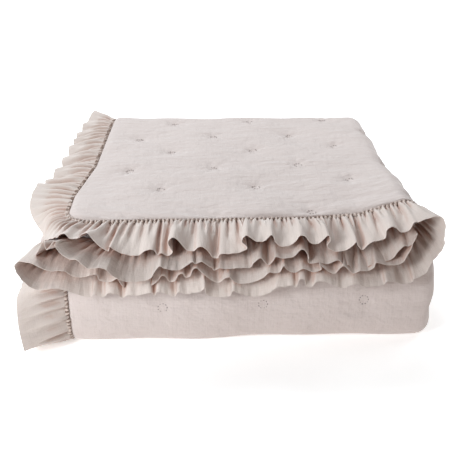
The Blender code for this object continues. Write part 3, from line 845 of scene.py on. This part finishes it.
def frillSurface(cloth, share):
    # cloth is the distance along the flat strip, share goes from the seam to the hem
    sSeam = np.interp(cloth, clothAt, sewnAt)
    sHem = np.interp(cloth, hemLength, hem[:, 0])
    lift = np.interp(cloth, hemLength, hem[:, 1])
    lean = (sHem - sSeam) * (1 + np.interp(sHem, seam.s, speedAlong)) / 2
    along = sSeam + (sHem - sSeam) * share ** 0.9
    point = seam.at(along, seam.point)
    tangent = seam.at(along, seam.tangent)
    guide = seam.at(along, seam.guide)
    yaw, droop, tip = guide[..., 0], guide[..., 1], guide[..., 2]
    here = droop + (tip - droop) * share
    chord = direction(yaw, (droop + here) / 2)
    upward = unit(np.cross(direction(yaw, here), tangent))
    slant = (direction(yaw, (droop + tip) / 2) * upward).sum(-1)
    room = frill["depth"] ** 2 - lift ** 2 * (1 - slant ** 2) - lean ** 2
    depth = np.sqrt(np.maximum(room, (frill["leastReach"] * frill["depth"]) ** 2)) - lift * slant
    straight = frill["straightRise"]
    rise = lift * (straight * share + (1 - straight) * np.sin(np.pi / 2 * share))
    # the hem is caught up under the first corner, so the cloth above it puffs out
    caught = np.exp(-((sSeam - cornerAt) / frill["tuckWidth"]) ** 2)
    depth = depth * (1 - frill["tuck"] * caught)
    puffed = frill["tuckPuff"] * frill["tuck"] * frill["depth"] * caught
    rise = rise + puffed * np.sin(np.pi * share ** 1.15) ** 1.5
    # folds that start at the seam and die out, and the fine gathers of the stitching
    wobble = 0.35 * np.sin(cloth * 31) + 0.25 * np.sin(cloth * 83 + 1)
    middle = np.sin(tau * cloth / frill["foldPitch"] + 2.2 * wobble)
    aside = np.exp(-((sSeam - cornerAt) / frill["cornerWidth"]) ** 2)
    high = frill["foldHeight"] * (1 + 0.9 * (sSeam < cornerAt) + 0.5 * aside)
    rise = rise + high * middle * np.exp(-((share - frill["foldAt"]) / (0.30 + 0.2 * aside)) ** 2)
    gathers = 2 * np.abs(np.cos(np.pi * sSeam / frill["gatherPitch"])) ** 0.7 - 1.2
    reach = frill["gatherReach"] + 0.10 * np.sin(cloth * 57 + 0.6) + 0.06 * np.sin(cloth * 131)
    near = np.exp(-(share / reach) ** 2)
    rise = rise + frill["gatherHeight"] * gathers * near * (0.45 + 0.55 * smooth(share / 0.05))
    slanting = cloth + 0.010 * share * np.sin(cloth * 23)
    creased = frill["creaseDepth"] * np.interp(slanting, creaseAt, creaseTable)
    rise = rise - creased * smooth(share / 0.06) * np.exp(-(share / frill["creaseReach"]) ** 4)
    ripple = np.sin(cloth * 410 + 2 * wobble) * smooth((share - 0.75) / 0.25)
    rise = rise + frill["hemRipple"] * ripple
    start = point + direction(yaw, np.zeros_like(yaw)) * frill["seamGap"]
    place = start + chord * (share * depth)[..., None] + upward * rise[..., None]
    place[..., 2] = np.maximum(place[..., 2], frill["thick"])    # it lies on the table, not in it
    return place


def frillPiece(name, low, high, step, rows):
    clothLow, clothHigh = np.interp([low, high], sewnAt, clothAt)
    count = int((clothHigh - clothLow) / step)
    cloth = np.linspace(clothLow, clothHigh, count)
    share = np.linspace(0, 1, rows) ** frill["rowPower"]
    cloths, shares = np.meshgrid(cloth, share)
    middle = frillSurface(cloths, shares)
    alongHem = np.gradient(middle, axis=1)
    down = np.gradient(middle, axis=0)
    normal = unit(np.cross(down, alongHem))
    half = frill["thick"] / 2 * np.ones(shares.shape)
    half[-1] *= frill["hemThin"]
    off = normal * half[..., None]
    uv = np.stack([cloths, shares * frill["depth"]], -1)
    piece = closedCloth(name, middle - off, middle + off, uv, frillWeave)
    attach(piece, "root")
    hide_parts("frill")
    return piece


# where one length of the frill ends and the next begins
joins = [seam.distance(0, 0.95), seam.distance(1.97), seam.distance(3.9), seam.distance(7, cornerV(90))]
frillPieces = [
    frillPiece("frillFirstSide", 0.0, joins[0], frill["middleStep"], frill["sideRows"]),
    frillPiece("frillTop", joins[0], joins[1], frill["fineStep"], frill["rows"]),
    frillPiece("frillLowest", joins[1], joins[2], frill["fineStep"], frill["rows"]),
    frillPiece("frillMiddle", joins[2], joins[3], frill["fineStep"], frill["rows"]),
    frillPiece("frillSecondSide", joins[3], seam.total, frill["coarseStep"], frill["hiddenRows"]),
]


# how closed in the frill is round each point, which sets the painted shade in its folds
hollows = {"reach": 0.065, "start": 0.0007, "lean": 0.72, "around": 5, "gain": 1.9, "floor": 0.09}


def markHollows(pieces, around):
    # how far the cloth round each point closes it in: 0 in the open, 1 deep between the folds, kept as the
    # 'inner' value that paints shade into the frill's colour
    points, faces, count = [], [], 0
    for piece in pieces + around:
        mesh = piece.data
        mesh.calc_loop_triangles()
        points.append(readAll(mesh.vertices, "co", 3, np.float32))
        faces.append(readAll(mesh.loop_triangles, "vertices", 3, np.int32) + count)
        count += len(mesh.vertices)
    allPoints, allFaces = np.concatenate(points).tolist(), np.concatenate(faces).tolist()
    tree = BVHTree.FromPolygons(allPoints, allFaces, all_triangles=True)
    for piece, place in zip(pieces, points):
        mesh = piece.data
        facing = readAll(mesh.vertex_normals, "vector", 3, np.float32)
        aside = np.where(np.abs(facing[:, 2:]) < 0.8, (0.0, 0.0, 1.0), (1.0, 0.0, 0.0))
        side = unit(np.cross(facing, aside))
        other = np.cross(facing, side)
        closed = np.zeros(len(place))
        # one ray straight out and the others leaning, evenly round it
        rays = [(0.0, 0.0)] + [(hollows["lean"], turn) for turn in range(0, 360, 360 // hollows["around"])]
        start = (place + facing * hollows["start"]).tolist()
        for lean, turn in rays:
            turn = math.radians(turn)
            sideways = side * math.cos(turn) + other * math.sin(turn)
            ray = facing * math.sqrt(1 - lean * lean) + lean * sideways
            for k, (origin, way) in enumerate(zip(start, ray.tolist())):
                away = tree.ray_cast(origin, way, hollows["reach"])[3]
                if away is not None:
                    closed[k] += 1 - away / hollows["reach"]
        closed = closed / len(rays)
        value = np.clip((closed - hollows["floor"]) * hollows["gain"], 0, 1)
        layer = mesh.attributes.new("inner", "FLOAT", "POINT")
        layer.data.foreach_set("value", value.astype(np.float32))
        print(piece.name, "hollows, mean", round(float(value.mean()), 3))


markHollows(frillPieces, [quiltPiece])


stitches = {
    "pitch": frill["gatherPitch"],
    "fromEdge": 0.0026,
    "puff": (0.0056, 0.0090, 0.0072),  # along the seam, across it, high
    "dash": (0.0026, 0.0090, 0.0076),
    "slant": 0.45,
    "puffSlant": 0.6,  # the puffs lean by this share of the slant
    "lineStep": 0.0012,
    "tackRing": 0.0076,
    "tackPoints": 49,
    "tackCount": 9,
    "tackDash": (0.0036, 0.0021, 0.0016),
    "tackRaised": 0.0003,
    "probe": 0.002,
}


def beadTree(name, material):
    # small rounded beads at even steps along a line, each set square to it and to the cloth
    tree = bpy.data.node_groups.new(name, "GeometryNodeTree")
    tree.interface.new_socket("Geometry", in_out="INPUT", socket_type="NodeSocketGeometry")
    tree.interface.new_socket("Geometry", in_out="OUTPUT", socket_type="NodeSocketGeometry")
    sockets = {"Pitch": "Float", "Size": "Vector", "Slant": "Float", "Uneven": "Float", "Seed": "Int"}
    for label, kind in sockets.items():
        tree.interface.new_socket(label, in_out="INPUT", socket_type="NodeSocket" + kind)
    given = add(tree, "NodeGroupInput")
    line = add(tree, "GeometryNodeMeshToCurve")
    even = add(tree, "GeometryNodeResampleCurve", mode="LENGTH")
    link(tree, given.outputs["Geometry"], line.inputs[0])
    link(tree, line.outputs[0], even.inputs["Curve"])
    link(tree, given.outputs["Pitch"], even.inputs["Length"])
    turn = add(tree, "FunctionNodeAxesToRotation", primary_axis="Z", secondary_axis="Y")
    for k, label in enumerate(("outward", "across")):
        way = add(tree, "GeometryNodeInputNamedAttribute", data_type="FLOAT_VECTOR", Name=label)
        link(tree, way.outputs["Attribute"], turn.inputs[k])
    # each bead turned and sized a little differently
    jitter = add(tree, "FunctionNodeRandomValue", data_type="FLOAT")
    jitter.inputs[2].default_value, jitter.inputs[3].default_value = -1.0, 1.0
    link(tree, given.outputs["Seed"], jitter.inputs["Seed"])
    angle = maths(tree, "MULTIPLY_ADD", jitter.outputs[1], given.outputs["Uneven"], given.outputs["Slant"])
    spin = add(tree, "ShaderNodeCombineXYZ")
    link(tree, angle, spin.inputs["Z"])
    asTurn = add(tree, "FunctionNodeEulerToRotation")
    link(tree, spin.outputs[0], asTurn.inputs[0])
    turned = add(tree, "FunctionNodeRotateRotation", rotation_space="LOCAL")
    link(tree, turn.outputs[0], turned.inputs[0])
    link(tree, asTurn.outputs[0], turned.inputs[1])
    spread = add(tree, "FunctionNodeRandomValue", data_type="FLOAT_VECTOR")
    spread.inputs[0].default_value, spread.inputs[1].default_value = (-1, -1, -1), (1, 1, 1)
    link(tree, given.outputs["Seed"], spread.inputs["Seed"])
    swell = add(tree, "ShaderNodeVectorMath", operation="SCALE")
    link(tree, spread.outputs[0], swell.inputs[0])
    link(tree, given.outputs["Uneven"], swell.inputs["Scale"])
    grown = add(tree, "ShaderNodeVectorMath", operation="ADD")
    grown.inputs[1].default_value = (1, 1, 1)
    link(tree, swell.outputs[0], grown.inputs[0])
    size = add(tree, "ShaderNodeVectorMath", operation="MULTIPLY")
    link(tree, grown.outputs[0], size.inputs[0])
    link(tree, given.outputs["Size"], size.inputs[1])
    bead = add(tree, "GeometryNodeMeshUVSphere", Segments=8, Rings=5, Radius=0.5)
    spots = add(tree, "GeometryNodeInstanceOnPoints")
    link(tree, even.outputs[0], spots.inputs["Points"])
    link(tree, bead.outputs["Mesh"], spots.inputs["Instance"])
    link(tree, turned.outputs[0], spots.inputs["Rotation"])
    link(tree, size.outputs[0], spots.inputs["Scale"])
    real = add(tree, "GeometryNodeRealizeInstances")
    soft = add(tree, "GeometryNodeSetShadeSmooth")
    dressed = add(tree, "GeometryNodeSetMaterial", Material=material)
    result = add(tree, "NodeGroupOutput")
    for a, b in ((spots, real), (real, soft), (soft, dressed), (dressed, result)):
        link(tree, a.outputs[0], b.inputs[0])
    return tree


def beadsAlong(name, lines, material, pitch, size, slant, uneven, seed):
    # lines is a list of (places, outward, across), and all of them become one plain mesh
    points = np.concatenate([line[0] for line in lines])
    edges, start = [], 0
    for line in lines:
        edges += [(start + k, start + k + 1) for k in range(len(line[0]) - 1)]
        start += len(line[0])
    guide = bpy.data.meshes.new(name + "Guide")
    guide.from_pydata(points.tolist(), edges, [])
    for k, label in ((1, "outward"), (2, "across")):
        ways = np.concatenate([line[k] for line in lines])
        layer = guide.attributes.new(label, "FLOAT_VECTOR", "POINT")
        layer.data.foreach_set("vector", ways.astype(np.float32).ravel())
    holder = placed(name + "Guide", guide)
    tree = beadTree(name + "Tree", material)
    modifier = holder.modifiers.new("beads", "NODES")
    modifier.node_group = tree
    values = {"Pitch": pitch, "Size": size, "Slant": slant, "Uneven": uneven, "Seed": seed}
    for item in tree.interface.items_tree:
        if item.in_out == "INPUT" and item.name in values:
            modifier[item.identifier] = values[item.name]
    bpy.context.view_layer.update()
    graph = bpy.context.evaluated_depsgraph_get()
    mesh = bpy.data.meshes.new_from_object(holder.evaluated_get(graph), depsgraph=graph)
    mesh.name = name
    bpy.data.objects.remove(holder)
    bpy.data.meshes.remove(guide)
    piece = placed(name, mesh)
    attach(piece, "root")
    print(name, sum(len(face.vertices) - 2 for face in mesh.polygons), "triangles")


def seamLine(low, high, phase, raised):
    # a line beside the seam on the frill, begun so that its beads fall in step with the gathers
    pitch = stitches["pitch"]
    first = (math.ceil(low / pitch) + phase) * pitch
    places = np.arange(first, high - pitch, stitches["lineStep"])
    guide = seam.at(places, seam.guide)
    across = direction(guide[:, 0], guide[:, 1])
    outward = unit(np.cross(across, seam.at(places, seam.tangent)))
    here = seam.at(places, seam.point) + across * (frill["seamGap"] + stitches["fromEdge"])
    return here + outward * raised, outward, across


shownSeams = [
    (0.0, seam.distance(1.9)),
    (seam.distance(2.7), seam.distance(4.5)),
    (seam.distance(6.0), seam.total),
]
puffLines = [seamLine(low, high, phase=0.0, raised=0.0014) for low, high in shownSeams]
beadsAlong("gatherPuffs", puffLines, gatherWeave, pitch=stitches["pitch"], size=stitches["puff"],
           slant=stitches["slant"] * stitches["puffSlant"], uneven=0.24, seed=5)
# painted shade: dark brown dashes in the valleys between the gathers, partly the gathering thread and partly
# the shade down in those valleys
dashLines = [seamLine(low, high, phase=0.5, raised=0.0015) for low, high in shownSeams]
beadsAlong("gatherStitchesAndValleyShade", dashLines, gatherThreadAndValleyShade, pitch=stitches["pitch"], size=stitches["dash"],
           slant=stitches["slant"], uneven=0.22, seed=9)


def tackLine(a, b):
    # a ring of short stitches lying on the cloth
    ring = np.linspace(0, tau, stitches["tackPoints"])
    s, t = a + stitches["tackRing"] * np.cos(ring), b + stitches["tackRing"] * np.sin(ring)

    def surface(s, t):
        u, v = np.interp(s, acrossFlat, acrossU), np.interp(t, alongFlat, alongV)
        return foldedPoint(u, v, 1.0, quiltRelief(s, t))

    here, step = surface(s, t), stitches["probe"]
    east, north = surface(s + step, t) - here, surface(s, t + step) - here
    outward = unit(np.cross(east, north))
    across = unit(-east * np.sin(ring)[:, None] + north * np.cos(ring)[:, None])
    return here + outward * stitches["tackRaised"], outward, np.cross(outward, across)


# painted shade: the dark tack thread also stands for the shade of the dimples at the tacks
tackPitch = tau * stitches["tackRing"] / stitches["tackCount"]
beadsAlong("tackStitchesAndDimpleShade", [tackLine(a, b) for a, b in tackPlaces()], tackThreadAndDimpleShade, pitch=tackPitch,
           size=stitches["tackDash"], slant=0.0, uneven=0.12, seed=2)


room = {
    "floorSide": 40.0,
    "floorDrop": 0.0005,
    "floor": (0.95, 0.95, 0.95),
    "floorPatch": 0.985,
    "floorGlow": 0.43,
    "glowTint": (1.0, 0.98, 0.96),
    "sky": 0.15,
    "skyTint": (1.0, 0.78, 0.67),
    "horizonTint": (1.0, 0.98, 0.965),
    "horizon": 0.32,
    "farBand": 0.55,
    "lampTint": (0.91, 1.0, 1.055),
    # name, place, what it faces, size, watts
    "lamps": (
        ("sideLamp", (-0.99, -1.31, 0.82), (0.0, 0.0, 0.10), 0.55, 18.8),
        ("topLamp", (-0.75, 0.95, 2.1), (0.0, 0.0, 0.1), 1.1, 38.6),
        ("floorLamp", (1.10, 0.10, 0.75), (0.80, 0.10, 0.0), 0.5, 3.6),
        ("backLamp", (0.0, 6.0, 4.0), (0.0, 6.5, 0.0), 6.0, 330.0),
    ),
    "cameraPlace": (0.00611, -1.38798, 0.72),
    "cameraPitch": 25.0,
    "lens": 54.78,
    "sensor": 36.0,
}


def floorMaterial():
    material, tree = nodeTree("floorPaint")
    shader = shaderIn(tree, Roughness=0.9)
    shader.inputs["Specular IOR Level"].default_value = 0.1
    place = add(tree, "ShaderNodeTexCoord").outputs["Object"]
    grain = noise(tree, place, 3.0, 3.0)
    patch = tuple(room["floorPatch"] * c for c in room["floor"])
    paint = mixColour(tree, grain, room["floor"], patch)
    link(tree, paint, shader.inputs["Base Color"])
    shader.inputs["Emission Color"].default_value = (*room["glowTint"], 1.0)
    shader.inputs["Emission Strength"].default_value = room["floorGlow"]
    return material


def buildRoom():
    side, drop = room["floorSide"], room["floorDrop"]
    points = np.array([(x * side, y * side, -drop) for x, y in ((-1, -1), (1, -1), (1, 1), (-1, 1))])
    floor = newMesh("floor", points, np.array([(0, 1, 2, 3)]), material=floorMaterial())
    world = bpy.data.worlds.new("studio")
    bpy.context.scene.world = world
    world.use_nodes = True
    tree = world.node_tree
    back = tree.nodes["Background"]
    # paler near the horizon than overhead
    place = add(tree, "ShaderNodeTexCoord").outputs["Object"]
    parts = add(tree, "ShaderNodeSeparateXYZ")
    link(tree, place, parts.inputs[0])
    height = parts.outputs["Z"]
    strength = rangeOf(tree, height, 0.02, 0.42, room["horizon"], room["sky"])
    band = rangeOf(tree, height, 0.03, 0.20, room["farBand"], 0)
    link(tree, maths(tree, "ADD", strength, band), back.inputs["Strength"])
    overhead = rangeOf(tree, height, 0.25, 0.6, 0, 1)
    link(tree, mixColour(tree, overhead, room["horizonTint"], room["skyTint"]), back.inputs["Color"])
    for name, place, aim, size, power in room["lamps"]:
        light = bpy.data.lights.new(name, "AREA")
        light.size = size
        light.energy = power
        light.color = room["lampTint"]
        lamp = placed(name, light)
        lamp.location = place
        lamp.rotation_euler = (Vector(aim) - Vector(place)).to_track_quat("-Z", "Y").to_euler()
    camera = placed("camera", bpy.data.cameras.new("camera"))
    camera.location = room["cameraPlace"]
    camera.rotation_euler = (math.radians(90 - room["cameraPitch"]), 0, 0)
    camera.data.lens = room["lens"]
    camera.data.sensor_width = room["sensor"]
    bpy.context.scene.camera = camera
    bpy.context.scene.view_settings.view_transform = "Standard"


buildRoom()

bpy.context.view_layer.update()
